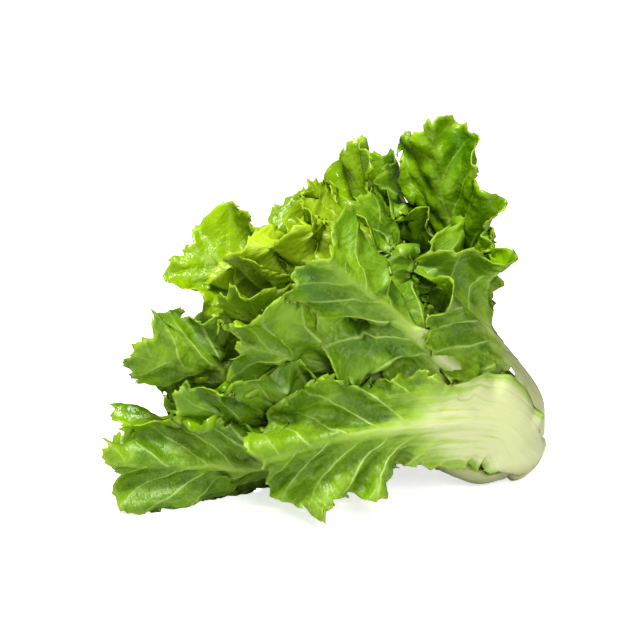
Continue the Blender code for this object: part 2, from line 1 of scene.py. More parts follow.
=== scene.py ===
# %% [markdown]
# A head of escarole
# The real object is one head of escarole: about thirty leaves on one short stem, cut and laid on its
# side. This lesson dresses the imported solid model. It first finds each leaf's shape by the same rule
# that the solid model used, then gives the leaf its frilled edge, its blisters and its veins.
# The solid model is loaded first.

import math
import random
from dataclasses import dataclass

import bpy
import numpy as np
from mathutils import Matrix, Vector, geometry
from mathutils.bvhtree import BVHTree


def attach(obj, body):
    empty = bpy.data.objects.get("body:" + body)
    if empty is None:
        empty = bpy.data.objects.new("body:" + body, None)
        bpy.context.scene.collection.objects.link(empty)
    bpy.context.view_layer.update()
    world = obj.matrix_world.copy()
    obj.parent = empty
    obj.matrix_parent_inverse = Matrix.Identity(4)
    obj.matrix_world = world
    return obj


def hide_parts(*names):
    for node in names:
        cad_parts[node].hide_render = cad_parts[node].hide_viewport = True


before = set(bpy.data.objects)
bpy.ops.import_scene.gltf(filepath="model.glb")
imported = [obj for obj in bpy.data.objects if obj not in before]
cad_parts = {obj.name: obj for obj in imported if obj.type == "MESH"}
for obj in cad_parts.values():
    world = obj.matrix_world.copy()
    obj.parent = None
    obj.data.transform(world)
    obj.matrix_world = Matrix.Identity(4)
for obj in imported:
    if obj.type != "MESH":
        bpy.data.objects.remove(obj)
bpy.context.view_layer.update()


# %% [markdown]
# Lengths are millimetres until a mesh is made. These values place the crown, the short stem that
# every leaf grows from. They are the solid model's own values.

# %% Sizes of the crown and the spiral
MM = 0.001
CUT_CENTRE = np.array((129.0, 15.0, 11.9))
HEAD_CENTRE = np.array((5.45, 19.35, 0.0))
AXIS_LEAN = (-0.745, -0.12, 0.655)
CROWN_RADIUS = 17.0
CROWN_TOP_RADIUS = 6.0
CROWN_LENGTH = 72.0
FIRST_TURN = 98.0
GOLDEN_TURN = 137.5
FIRST_FOOT_HEIGHT = 5.0
FOOT_RISE = 2.0
FULL_HALF_WIDTH = 46.0

# Where a midrib runs near the crown: how far up from its foot, how far out, and how much further
# out for the outermost leaf
LOW_WAY = (17.0, 4.0, 13.0)
HIGH_WAY = (48.0, 6.0, 20.0)

# %% [markdown]
# Each leaf has a name, the place of its tip, and the way its blade turns. A plant makes a new leaf
# a golden angle (137.5 degrees) on from the last one, so that no leaf shades the one below. The list
# runs in that order, outermost first. The tips and widths of the leaves in front follow the
# photograph. Those of the leaves behind are guesses.

# %% The leaves
@dataclass
class Leaf:
    """A leaf from its foot on the crown to its tip. Angles are in degrees."""

    name: str
    tip: tuple
    half_width: float
    faces: tuple = None
    bow: float = 0.0
    lift: float = 0.0
    cup: tuple = (25.0, 25.0)
    keel: float = 8.0
    ruffle: float = 11.0
    petiole: float = 15.0
    late: float = 0.0
    turn: float = None
    order: int = 0

    @property
    def size(self):
        """How large the leaf is beside a full-grown one."""
        return min(1.0, self.half_width / FULL_HALF_WIDTH)


# Outermost first, in the order of the spiral. faces is the way the blade's outer side looks at its
# tip, cup is how far the blade's first and second side turn in, and late is how much later than usual
# the blade begins
LARGE_LEAVES = [
    Leaf("leaf_front_low", (-44, -70, 40), 45, (-0.1, -0.98, 0.15), bow=14, lift=10, cup=(0, 10), petiole=31,
         turn=82, late=0.14),
    Leaf("leaf_back_low", (-47, 105, 9), 58, bow=12, cup=(8, 8), petiole=20),
    Leaf("leaf_right", (66, -56, 150), 48, (0.3, -0.9, 0.2), cup=(0, -10), petiole=22, late=0.1),
    Leaf("leaf_left_low", (-130, -46, 32), 52, (-0.2, -0.9, 0.3), bow=4, cup=(5, 10)),
    Leaf("leaf_back_high", (51, 95, 166), 56, bow=12, petiole=20),
    Leaf("leaf_front_high", (-8, -84, 170), 46, bow=8, cup=(0, 45), keel=26, ruffle=9, petiole=20,
         late=0.05),
    Leaf("leaf_back_left", (-109, 62, 20), 52, bow=6),
    Leaf("leaf_top_right", (62, 9, 227), 45, (0.45, 0.85, 0.1), bow=-2, cup=(10, 0), ruffle=9, petiole=20),
    Leaf("leaf_front_left_low", (-98, -56, 60), 45, bow=8),
    Leaf("leaf_back_middle", (-46, 118, 87), 54, bow=10),
    Leaf("leaf_right_inner", (68, -22, 166), 34, bow=0, ruffle=9),
    Leaf("leaf_under", (-130, 8, 40), 46, bow=2),
    Leaf("leaf_back_top", (29, 66, 194), 44, bow=8),
    Leaf("leaf_front_middle", (-56, -74, 112), 48, bow=10, cup=(10, 10)),
    Leaf("leaf_back_inner", (-100, 80, 71), 46, bow=8),
    Leaf("leaf_top_middle", (20, -13, 191), 29, bow=2, cup=(10, 20), ruffle=8),
    Leaf("leaf_left_middle", (-114, -28, 98), 47, (-0.4, -0.9, 0.0), bow=4, cup=(10, 10)),
    Leaf("leaf_back_upper", (-30, 70, 160), 42, bow=6),
    Leaf("leaf_front_upper", (26, -54, 154), 42, bow=6, cup=(0, 10)),
    Leaf("leaf_left_high", (-118, 8, 84), 44, bow=2, cup=(10, 10)),
    Leaf("leaf_top_left", (14, 38, 210), 42, (0.3, 0.9, 0.25), bow=-4, cup=(10, 10)),
    Leaf("leaf_left_top", (-62, -54, 128), 36, bow=6, cup=(20, 10)),
    Leaf("leaf_back_far", (-88, 32, 150), 42, bow=4),
    Leaf("leaf_heart_right", (-11, -5, 190), 33, bow=2),
]
SMALL_LEAVES = [
    Leaf("heart_1", (-54, -8, 150), 30, petiole=10),
    Leaf("heart_2", (-14, 42, 171), 22, petiole=8),
    Leaf("heart_3", (-24, -32, 168), 29, petiole=10),
    Leaf("heart_4", (-64, 24, 136), 25, petiole=9),
    Leaf("heart_5", (-2, 0, 190), 26, petiole=9),
    Leaf("heart_6", (-47, -20, 158), 18, petiole=6.5),
]

print("leaves:", len(LARGE_LEAVES), "large and", len(SMALL_LEAVES), "small")

# %% [markdown]
# A leaf's midrib is a smooth curve from its foot on the crown to its tip. It is a Catmull-Rom
# curve, which passes through every point that it is given. A frame of three directions is carried
# along it, and turned a little towards the tip.

# %% Directions and easing
def unit(vector):
    """The vector, or each row of them, at length one."""
    vector = np.asarray(vector, float)
    return vector / np.linalg.norm(vector, axis=-1, keepdims=True)


AXIS = unit(AXIS_LEAN)
TOP_SIDE = unit(np.array((0.0, 0.0, 1.0)) - AXIS * AXIS[2])
FRONT_SIDE = np.cross(TOP_SIDE, AXIS)


def radial(turn):
    """The way out of the crown at this turn: 0 is the top, 90 the front and 180 below."""
    angle = math.radians(turn)
    return TOP_SIDE * math.cos(angle) + FRONT_SIDE * math.sin(angle)


def ease(start, end, x):
    """0 before start and 1 after end, smooth between."""
    share = np.clip((np.asarray(x, float) - start) / (end - start), 0.0, 1.0)
    return share * share * (3.0 - 2.0 * share)


def crown_radius(height):
    """The crown's radius at a height up its axis."""
    share = np.clip(height / CROWN_LENGTH, 0.0, 1.0)
    return CROWN_RADIUS + (CROWN_TOP_RADIUS - CROWN_RADIUS) * share


def grown():
    """All the leaves, each with its place in the spiral."""
    leaves = LARGE_LEAVES + SMALL_LEAVES
    for order, leaf in enumerate(leaves):
        leaf.order = order
        if leaf.turn is None:
            leaf.turn = FIRST_TURN + GOLDEN_TURN * order
    return leaves

# %% A midrib and its frame
RIB_THICK_AT_FOOT = 6.0
CROWN_CLEARANCE = 0.8
TWISTS = (0.32, 0.9)
MOST_TWIST = 55.0
LEAST_HUG_RADIUS = 14.0


def catmull(points, count):
    """Evenly spaced points on a smooth curve through the given ones."""
    points = np.array(points, float)
    padded = np.vstack((2 * points[0] - points[1], points, 2 * points[-1] - points[-2]))
    dense = []
    for i in range(1, len(padded) - 2):
        a, b, c, d = padded[i - 1 : i + 3]
        s = np.linspace(0.0, 1.0, 40, endpoint=False)[:, None]
        dense.append(
            0.5 * (2 * b + (c - a) * s + (2 * a - 5 * b + 4 * c - d) * s**2 + (3 * b - a - 3 * c + d) * s**3)
        )
    dense = np.vstack((*dense, points[-1:]))
    along = np.concatenate(([0.0], np.cumsum(np.linalg.norm(np.diff(dense, axis=0), axis=1))))
    even = np.linspace(0.0, along[-1], count)
    return np.column_stack([np.interp(even, along, dense[:, k]) for k in range(3)]), along[-1]


class Rib:
    """A leaf's midrib with its frame: which way is on, which way is out and which way is the side."""

    SAMPLES = 120

    def __init__(self, leaf, count):
        outward = radial(leaf.turn)
        outer = 1.0 - leaf.order / count
        height = FIRST_FOOT_HEIGHT + FOOT_RISE * leaf.order
        foot = crown_radius(height) + 0.5 * RIB_THICK_AT_FOOT * leaf.size + CROWN_CLEARANCE
        base = CUT_CENTRE + AXIS * height
        tip = np.array(leaf.tip, float)
        waypoints = [base + outward * foot]
        for up, out, further in (LOW_WAY, HIGH_WAY):
            waypoints += [base + AXIS * up + outward * (foot + out + further * outer)]
        waypoints += [0.5 * (waypoints[-1] + tip) + outward * leaf.bow + np.array((0.0, 0.0, leaf.lift)), tip]
        self.at, self.length = catmull(waypoints, self.SAMPLES)
        self.on = unit(np.gradient(self.at, axis=0))
        out = [outward]
        for direction in self.on:
            last = out[-1]
            out.append(unit(last - direction * (last @ direction)))
        out = np.array(out[1:])
        side = np.cross(self.on, out)
        v = np.linspace(0.0, 1.0, self.SAMPLES)
        roll = 0.0
        if leaf.faces:
            roll = math.atan2(side[-1] @ unit(leaf.faces), out[-1] @ unit(leaf.faces))
            roll = float(np.clip(roll, -math.radians(MOST_TWIST), math.radians(MOST_TWIST)))
        turn = roll * ease(*TWISTS, v)[:, None]
        self.out = out * np.cos(turn) + side * np.sin(turn)
        self.side = np.cross(self.on, self.out)
        reach = self.at - CUT_CENTRE
        self.axis_radius = np.linalg.norm(reach - np.outer(reach @ AXIS, AXIS), axis=1)

    def take(self, values, v):
        """The midrib's value at v, from 0 at the foot to 1 at the tip."""
        index = np.asarray(v, float) * (self.SAMPLES - 1)
        low = np.clip(index.astype(int), 0, self.SAMPLES - 2)
        share = index - low
        if values.ndim > 1:
            share = share[..., None]
        return values[low] * (1 - share) + values[low + 1] * share

# %% [markdown]
# A leaf is shaped on the flat first, as if pressed in a book: u runs across from edge to edge and
# v runs from foot to tip. It is narrow and fleshy at the petiole and broad and round at the tip.
# Then it is cupped round its midrib, and its edge is waved, because the edge of a real escarole
# leaf grows longer than its middle and has to buckle.

# %% The flat leaf
FOOT_HALF_WIDTH = 12.0
FOOT_NARROWING = 1.5
PETIOLE_FULL_FROM = 0.25
WIDENS = (0.24, 0.74)
ROUNDS_FROM = 0.78
ROUNDING = 0.28
TIP_ARC = 80.0
FOOT_ARC = 6.0
ARC_GROWTH = 2.4
BLADE_STARTS = 0.30
BLADE_FULL_AFTER = 0.25
SIDE_EDGE_POWER = 2.2
TIP_EDGE_POWER = 5.0


def half_width(leaf, v):
    """Half the flat leaf's width at v."""
    foot = FOOT_HALF_WIDTH * leaf.size**FOOT_NARROWING
    foot = foot + (leaf.petiole - foot) * ease(0.0, PETIOLE_FULL_FROM, v)
    rounding = 1.0 - ROUNDING * ease(ROUNDS_FROM, 1.0, v)
    widening = ease(WIDENS[0] + leaf.late, WIDENS[1] + 0.5 * leaf.late, v)
    return (foot + (leaf.half_width - foot) * widening) * rounding


def flat_place(leaf, length, u, v):
    """Where (u, v) is on the leaf laid flat: how far across and how far along. Rows are arcs."""
    arc = np.radians(FOOT_ARC + (TIP_ARC - FOOT_ARC) * np.clip(v, 0, 1) ** ARC_GROWTH)
    radius = half_width(leaf, v) / np.sin(arc)
    across = radius * np.sin(u * arc)
    drop = radius * (1.0 - np.cos(u * arc))
    return across, length * v - drop, drop


def edge_nearness(leaf, u, v):
    """0 in the middle of the blade and on the petiole, 1 at the blade's edge."""
    inner = (1.0 - np.abs(u) ** SIDE_EDGE_POWER) * (1.0 - np.clip(v, 0, 1) ** TIP_EDGE_POWER)
    starts = BLADE_STARTS + leaf.late
    return (1.0 - inner) * ease(starts, starts + BLADE_FULL_AFTER, v)

# %% Thickness of rib and blade
BLADE_THICK = 0.9
RIB_THICK_AT_TIP = 1.2
RIB_HALF_WIDTH_AT_FOOT = 13.0
RIB_HALF_WIDTH_AT_TIP = 2.5
RIB_FADE = 1.5
YOUNG_RIB_THINNING = 1.4


def thickness(leaf, length, u, v):
    """The leaf's thickness: a fleshy rib that thins towards the tip, and a thin blade."""
    across, _, _ = flat_place(leaf, length, u, v)
    fade = (1.0 - np.clip(v, 0, 1)) ** RIB_FADE
    fleshy = leaf.size**YOUNG_RIB_THINNING
    rib = fleshy * (RIB_THICK_AT_TIP + (RIB_THICK_AT_FOOT - RIB_THICK_AT_TIP) * fade)
    spread = leaf.size * (RIB_HALF_WIDTH_AT_TIP + (RIB_HALF_WIDTH_AT_FOOT - RIB_HALF_WIDTH_AT_TIP) * fade)
    return BLADE_THICK + np.maximum(rib - BLADE_THICK, 0.0) * np.exp(-((across / spread) ** 2))

# %% The cupped and waved leaf as a grid
COLUMNS = 15
ROWS = 17
OPENS = (0.15, 0.55)
WAVES_ROUND = ((5, 0.5), (9, 0.6), (13, 0.4))
WAVES_ROUND_CHANGE = 0.4


def waves(leaf, length, u, v):
    """How far the blade's edge waves out of its surface at (u, v)."""
    draw = random.Random(leaf.name)
    across, along, _ = flat_place(leaf, length, u, v)
    around = np.arctan2(across, along - 0.5 * length)
    height = np.zeros_like(around)
    for count, share in WAVES_ROUND:
        count += draw.uniform(-WAVES_ROUND_CHANGE, WAVES_ROUND_CHANGE)
        height += share * np.sin(count * around + draw.uniform(0, 2 * math.pi))
    return leaf.ruffle * edge_nearness(leaf, u, v) * height


def control_grid(leaf, rib):
    """The leaf's surface as ROWS by COLUMNS points, before it is bent clear of the others."""
    u, v = np.meshgrid(np.linspace(-1, 1, COLUMNS), np.linspace(0, 1, ROWS))
    across, _, drop = flat_place(leaf, rib.length, u, v)
    at, on = rib.take(rib.at, v), rib.take(rib.on, v)
    out, side = rib.take(rib.out, v), rib.take(rib.side, v)
    open_share = ease(*OPENS, v)
    cup = np.radians(np.where(u < 0, leaf.cup[0], leaf.cup[1]))
    hugging = 1.0 / np.maximum(rib.take(rib.axis_radius, v), LEAST_HUG_RADIUS)
    curve = hugging * (1 - open_share) + cup / half_width(leaf, v) * open_share
    curve = np.where(np.abs(curve) < 1e-5, 1e-5, curve)
    distance = np.abs(across)
    keel = np.radians(leaf.keel) * open_share
    bent = curve * distance
    sideways = np.sin(bent) / curve
    inward = (1.0 - np.cos(bent)) / curve
    folded = sideways * np.cos(keel) - inward * np.sin(keel)
    inward = sideways * np.sin(keel) + inward * np.cos(keel)
    which = np.sign(u)
    lean = (bent + keel)[..., None]
    normal = out * np.cos(lean) + side * which[..., None] * np.sin(lean)
    points = at - on * drop[..., None] + side * (which * folded)[..., None] - out * inward[..., None]
    return points + normal * waves(leaf, rib.length, u, v)[..., None]

# %% [markdown]
# Thirty such leaves would run through each other. Real leaves press each other aside as they
# grow, so the grids do that here, a little in each sweep: a point that is on the wrong side of a
# neighbour, or too near it, moves to its own side, and its shift is shared with the points round it
# so that the leaf bends instead of denting. A BVH tree finds the nearest face quickly. This is a
# rule of the script's own, and not a cloth simulation.

# %% Bend the leaves clear of each other
SWEEPS = 60
CROSSING_SWEEPS = 24
LAST_SWEEPS = 14
RECHECK = 6
REACH = 22.0
CLEARANCE = 1.7
LOOK_AHEAD = 7.0
SMOOTH_BEND = 0.15
CROWN_REACH = 4.0
ASIDE = 1.5
SAME_WAY = 0.25
CROSSING_DEPTH = 4.0
SPREAD = 0.35
RELAX = 0.5
FLOOR_GAP = 0.1


def grid_faces(rows, columns):
    """A grid's triangles, as rows of three point numbers."""
    faces = []
    for row in range(rows - 1):
        for column in range(columns - 1):
            a = row * columns + column
            faces.append((a, a + 1, a + columns + 1))
            faces.append((a, a + columns + 1, a + columns))
    return faces


def grid_normals(grid):
    """The way out of the grid's surface at each of its points."""
    down = np.gradient(grid, axis=0)
    across = np.gradient(grid, axis=1)
    return unit(np.cross(across, down) + 1e-12)


def smoothed(shift):
    """Each point's shift, evened out with its neighbours'."""
    padded = np.pad(shift, ((1, 1), (1, 1), (0, 0)), mode="edge")
    around = (padded[:-2, 1:-1] + padded[2:, 1:-1] + padded[1:-1, :-2] + padded[1:-1, 2:]) / 4
    return shift * (1 - SPREAD) + around * SPREAD


def keep_off_crown(grid, half_thick):
    """The shift that moves points out of the crown."""
    reach = grid - CUT_CENTRE
    height = reach @ AXIS
    away = reach - height[..., None] * AXIS
    distance = np.linalg.norm(away, axis=-1)
    wanted = crown_radius(height) + half_thick + CROWN_CLEARANCE
    short = np.where(height < CROWN_LENGTH + CROWN_REACH, np.maximum(wanted - distance, 0.0), 0.0)
    return unit(away) * short[..., None]


FACES = grid_faces(ROWS, COLUMNS)


def near_pairs(grids, trees, ahead, reach):
    """For each two leaves whose boxes are within ahead, which points are within reach of the other."""
    boxes = [(g.reshape(-1, 3).min(0) - ahead, g.reshape(-1, 3).max(0) + ahead) for g in grids]
    pairs = []
    for mover, grid in enumerate(grids):
        points = grid.reshape(-1, 3)
        for other, tree in enumerate(trees):
            low, high = boxes[other]
            inside = ((points > low) & (points < high)).all(axis=1)
            if mover == other or not inside.any():
                continue
            near = [k for k in np.flatnonzero(inside) if tree.find_nearest(Vector(points[k]), reach)[0]]
            if near:
                pairs.append((mover, other, near))
    return pairs


def push_apart(mover, other, near, state, crossing):
    """Adds to the mover's shifts what takes its near points to its own side of the other leaf.

    A point where the leaves stand across each other is only moved if it is no deeper than crossing.
    """
    grids, normals, halves, trees, shifts = state
    way = 1.0 if mover < other else -1.0
    points = grids[mover].reshape(-1, 3)
    facing = normals[mover].reshape(-1, 3)
    thick = halves[mover].reshape(-1)
    other_thick = halves[other].reshape(-1)
    shift = shifts[mover].reshape(-1, 3)
    for k in near:
        found, normal, face, distance = trees[other].find_nearest(Vector(points[k]), REACH)
        if found is None:
            continue
        normal = np.array(normal)
        height = float((points[k] - np.array(found)) @ normal) * way
        sideways = math.sqrt(max(distance * distance - height * height, 0.0))
        wanted = thick[k] + other_thick[FACES[face][0]] + CLEARANCE
        beside = normal @ facing[k] > SAME_WAY or height > -crossing
        if height < wanted and sideways < ASIDE and beside:
            shift[k] += normal * way * (wanted - height) * RELAX


def bend_clear(leaves, ribs):
    """Every leaf's control grid, bent clear of the leaves inside it, the crown and the table."""
    u, v = np.meshgrid(np.linspace(-1, 1, COLUMNS), np.linspace(0, 1, ROWS))
    grids = [control_grid(leaf, rib) for leaf, rib in zip(leaves, ribs)]
    shapes = [grid.copy() for grid in grids]
    halves = [0.5 * thickness(leaf, rib.length, u, v) for leaf, rib in zip(leaves, ribs)]
    for sweep in range(SWEEPS + CROSSING_SWEEPS + LAST_SWEEPS):
        crossing = CROSSING_DEPTH if SWEEPS <= sweep < SWEEPS + CROSSING_SWEEPS else -math.inf
        normals = [grid_normals(grid) for grid in grids]
        trees = [BVHTree.FromPolygons(g.reshape(-1, 3).tolist(), FACES) for g in grids]
        shifts = [np.zeros_like(grid) for grid in grids]
        if sweep % RECHECK == 0:
            pairs = near_pairs(grids, trees, LOOK_AHEAD, REACH)
        for mover, other, near in pairs:
            state = grids, normals, halves, trees, shifts
            push_apart(mover, other, near, state, crossing)
        for k, grid in enumerate(grids):
            if sweep < SWEEPS + CROSSING_SWEEPS:
                grid += smoothed(shifts[k]) / (1 - 0.5 * SPREAD)
                bend = grid - shapes[k]
                grid += SMOOTH_BEND * (smoothed(bend) - bend) / SPREAD
            else:
                grid += shifts[k]
            grid += keep_off_crown(grid, halves[k])
            grid[..., 2] = np.maximum(grid[..., 2], halves[k] + FLOOR_GAP)
    return grids

# %% A smooth surface through the grid
def spline_weights(share):
    """The weights of four points in a row for a smooth curve between the middle two."""
    s = share[:, None]
    weights = (-s + 2 * s**2 - s**3, 2 - 5 * s**2 + 3 * s**3, s + 4 * s**2 - 3 * s**3, s**3 - s**2)
    return 0.5 * np.hstack(weights)


def on_surface(grid, u, v):
    """The grid's values at (u, v), on a smooth surface through its points."""
    rows, columns = grid.shape[:2]
    values = np.concatenate((2 * grid[:1] - grid[1:2], grid, 2 * grid[-1:] - grid[-2:-1]))
    first, last = 2 * values[:, :1] - values[:, 1:2], 2 * values[:, -1:] - values[:, -2:-1]
    values = np.concatenate((first, values, last), axis=1)
    column = (np.asarray(u) + 1) / 2 * (columns - 1)
    row = np.asarray(v) * (rows - 1)
    c = np.clip(column.astype(int), 0, columns - 2)
    r = np.clip(row.astype(int), 0, rows - 2)
    across, down = spline_weights(column - c), spline_weights(row - r)
    found = np.zeros((len(c), values.shape[2]))
    for i in range(4):
        for j in range(4):
            found += (down[:, i] * across[:, j])[:, None] * values[r + i, c + j]
    return found

# %% Bend every leaf
leaves = grown()
ribs = [Rib(leaf, len(leaves)) for leaf in leaves]
bent = bend_clear(leaves, ribs)
print("bent clear:", len(bent), "leaves, longest", round(max(rib.length for rib in ribs)), "mm")

# %% [markdown]
# The edge of an escarole leaf is frilled: short waves ride on the long ones, and they die away
# towards the midrib. They are added on a finer grid, as sine waves round the blade whose strength
# itself comes and goes, so that no two stretches look alike. The wings along the petiole are
# frilled a little too. They only hint at the yellow-green tufts at the foot of the real head.

# %% Frilled edges
FINE_ROWS = 47
FINE_COLUMNS = 31
FRILLS = ((7, 8.0), (13, 8.0), (23, 5.5), (41, 2.4))
FRILL_POWER = 0.9
FRILL_COUNT_CHANGE = 0.4
SWING_BASE = 0.65
SWINGS_ROUND = (2.0, 4.0)
WANDER = 0.6
RECURVE = 12.0
RECURVE_CHANGE = (0.3, 1.2)
RECURVES = (0.62, 1.15)
WING_FRILL = 2.6
WING_WAVES = ((3.4, 1.0), (1.9, 0.6))
WINGS = (0.05, 0.16, 0.30, 0.42)


def frilled(leaf, rib, grid):
    """The leaf's surface as FINE_ROWS by FINE_COLUMNS points, with short waves along its edge."""
    draw = random.Random(leaf.name + " frill")
    u, v = np.meshgrid(np.linspace(-1, 1, FINE_COLUMNS), np.linspace(0, 1, FINE_ROWS))
    points = on_surface(grid, u.ravel(), v.ravel()).reshape(FINE_ROWS, FINE_COLUMNS, 3)
    across, along, _ = flat_place(leaf, rib.length, u, v)
    around = np.arctan2(across, along - 0.5 * rib.length)
    height = np.zeros_like(u)
    for count, tall in FRILLS:
        count = round(count * leaf.size**0.25) + draw.uniform(-FRILL_COUNT_CHANGE, FRILL_COUNT_CHANGE)
        swing = np.sin(draw.uniform(*SWINGS_ROUND) * around + draw.uniform(0, 2 * math.pi))
        swing = SWING_BASE + (1.0 - SWING_BASE) * swing
        wander = WANDER * np.sin(3.0 * around + draw.uniform(0, 2 * math.pi))
        height += tall * swing * np.sin(count * around + wander + draw.uniform(0, 2 * math.pi))
    blade = edge_nearness(leaf, u, v) ** FRILL_POWER
    start, full, fade, end = WINGS
    wing = np.abs(u) ** 3 * ease(start, full, v) * (1.0 - ease(fade, end, v))
    wing_wave = sum(share * np.sin(along / size + draw.uniform(0, 6)) for size, share in WING_WAVES)
    height = leaf.size**0.3 * (height * blade + WING_FRILL * wing_wave * wing)
    recurve = RECURVE * leaf.size * draw.uniform(*RECURVE_CHANGE)
    height += recurve * ease(*RECURVES, v) * (0.4 + 0.6 * np.abs(u))
    return points + grid_normals(points) * height[..., None]


# %% [markdown]
# The frills can reach into a neighbour again, so the finer grids are moved apart once more, with a
# shorter reach. This clears most of them. The small teeth and blisters come later and are not
# checked, so some visible leaves still run through a neighbour.

# %% Let frilled leaves touch without crossing
FINE_SWEEPS = 24
FINE_LAST_SWEEPS = 4
FINE_RECHECK = 5
FINE_REACH = 9.0
FINE_MARGIN = 2.0
FINE_GAP = 0.5
FINE_MOST_SHIFT = 1.6
FINE_FACES = grid_faces(FINE_ROWS, FINE_COLUMNS)


def frills_apart(grids, halves):
    """Moves the finer grids' points, each to its own side of the neighbours."""
    for sweep in range(FINE_SWEEPS):
        trees = [BVHTree.FromPolygons(grid.reshape(-1, 3).tolist(), FINE_FACES) for grid in grids]
        if sweep % FINE_RECHECK == 0:
            pairs = near_pairs(grids, trees, FINE_REACH, FINE_REACH + FINE_MARGIN)
        shifts = [np.zeros_like(grid) for grid in grids]
        for mover, other, near in pairs:
            way = 1.0 if mover < other else -1.0
            points, shift = grids[mover].reshape(-1, 3), shifts[mover].reshape(-1, 3)
            half, other_half = halves[mover].reshape(-1), halves[other].reshape(-1)
            for k in near:
                found, normal, face, distance = trees[other].find_nearest(Vector(points[k]), FINE_REACH)
                if found is None:
                    continue
                normal = np.array(normal)
                height = float((points[k] - np.array(found)) @ normal) * way
                wanted = half[k] + other_half[FINE_FACES[face][0]] + FINE_GAP
                aside = distance * distance - height * height
                if height < wanted and aside < ASIDE * ASIDE:
                    shift[k] += normal * way * min((wanted - height) * RELAX, FINE_MOST_SHIFT)
        for grid, shift, half in zip(grids, shifts, halves):
            grid += smoothed(shift) if sweep < FINE_SWEEPS - FINE_LAST_SWEEPS else shift
            grid += keep_off_crown(grid, half)
            grid[..., 2] = np.maximum(grid[..., 2], half + FLOOR_GAP)


u, v = np.meshgrid(np.linspace(-1, 1, FINE_COLUMNS), np.linspace(0, 1, FINE_ROWS))
fine = [frilled(leaf, rib, grid) for leaf, rib, grid in zip(leaves, ribs, bent)]
fine_halves = [0.5 * thickness(leaf, rib.length, u, v) for leaf, rib in zip(leaves, ribs)]
frills_apart(fine, fine_halves)
print("frilled:", sum(grid.shape[0] * grid.shape[1] for grid in fine), "grid points")

# %% [markdown]
# The leaf's outline has large lobes and pointed teeth, drawn with the same random numbers as the
# solid model's, so both have the same teeth. Here each side of a tooth gets small teeth of its own.
# The outline is then filled with rows of points, and Delaunay triangulation joins them. A plain
# grid of quads couldn't follow a toothed edge.

# %% The toothed outline
TOOTH_PITCH = 12.0
TOOTH_DEPTH = 4.4
TOOTH_CHANGE = 0.2
LOBE_DEPTH = 10.0
LOBE_LENGTH = 9.0
LOBE_CHANGE_LENGTH = 21.0
SMALLER_TEETH = 1.5
PETIOLE_STEP = 17.0


def outline(leaf, length):
    """The toothed edge as (u, v), from the foot round the tip and back, and along the foot."""
    draw = random.Random(leaf.name + " teeth")
    fine = np.linspace(0.0, 1.0, 200)
    side = np.column_stack((np.full(200, -1.0), fine))
    top = np.column_stack((np.linspace(-1, 1, 200)[1:-1], np.ones(198)))
    edge = np.vstack((side, top, side[::-1] * (-1, 1)))
    across, along, _ = flat_place(leaf, length, edge[:, 0], edge[:, 1])
    run = np.concatenate(([0.0], np.cumsum(np.hypot(np.diff(across), np.diff(along)))))
    starts = np.interp(BLADE_STARTS + leaf.late, fine, run[:200])
    stations = list(np.arange(0.0, starts, PETIOLE_STEP))
    kinds = [0] * len(stations)
    while stations[-1] < run[-1] - starts:
        stations.append(stations[-1] + 0.5 * TOOTH_PITCH * draw.uniform(1 - TOOTH_CHANGE, 1 + TOOTH_CHANGE))
        kinds.append(1 if kinds[-1] == 2 else 2)
    left = np.arange(run[-1], stations[-1] + 0.4 * PETIOLE_STEP, -PETIOLE_STEP)[::-1]
    stations += list(left)
    kinds += [0] * len(left)
    waves_round = draw.uniform(0, 6)
    points = []
    for at, kind in zip(stations, kinds):
        u, v = (np.interp(at, run, edge[:, k]) for k in (0, 1))
        swing = math.sin(at / LOBE_LENGTH + waves_round + math.sin(at / LOBE_CHANGE_LENGTH))
        lobe = LOBE_DEPTH * 0.5 * (1.0 + swing)
        depth = (lobe + TOOTH_DEPTH * (kind == 2)) if kind else 0.0
        depth *= min(1.0, (leaf.half_width / FULL_HALF_WIDTH) ** SMALLER_TEETH)
        inward = 1.0 - depth / half_width(leaf, v)
        points.append((u * inward, v - depth / length * ease(0.9, 1.0, v) * (1 - u * u)))
    foot = [(u, 0.0) for u in (0.5, 0.0, -0.5)]
    return points + foot

# %% Small teeth and the filling
EDGE_STEP = 1.4
SMALL_TOOTH = 3.4
TOOTH_BASE = 0.3
# A small tooth's points: how far along its base, and how much of its height
TOOTH_PROFILE = ((-0.9, 0.12), (0.3, 1.0), (0.8, 0.1))
SHEET_STEP = 2.5
FILL_TO_EDGE = 0.45
FILL_BELOW_TIP = 0.5
TIP_ROW_LONGER = 0.35


def small_teeth(leaf, length, edge):
    """The outline with points about EDGE_STEP apart, and a pointed tooth on each side of the large ones."""
    draw = random.Random(leaf.name + " small teeth")
    finer = []
    for start, end in zip(edge, edge[1:] + edge[:1]):
        ends = np.array(flat_place(leaf, length, *np.array((start, end)).T)[:2])
        run = float(np.hypot(*(ends[:, 1] - ends[:, 0])))
        places = [(piece * EDGE_STEP / run, 0.0) for piece in range(max(1, int(run / EDGE_STEP)))]
        if start[1] > BLADE_STARTS + leaf.late and run < 1.5 * TOOTH_PITCH:
            at, tall = draw.uniform(0.4, 0.7), draw.uniform(0.35, 1.0) * SMALL_TOOTH
            places = [(t, 0.0) for t, _ in places if not at - TOOTH_BASE < t < at + TOOTH_BASE]
            places += [(at + along * TOOTH_BASE, share * tall) for along, share in TOOTH_PROFILE]
        for t, out in sorted(places):
            u, v = start[0] + (end[0] - start[0]) * t, start[1] + (end[1] - start[1]) * t
            tip_share = float(ease(0.9, 1.0, v)) * (1 - u * u)
            finer.append((u * (1 + out / float(half_width(leaf, v))), v + out / length * tip_share))
    return finer


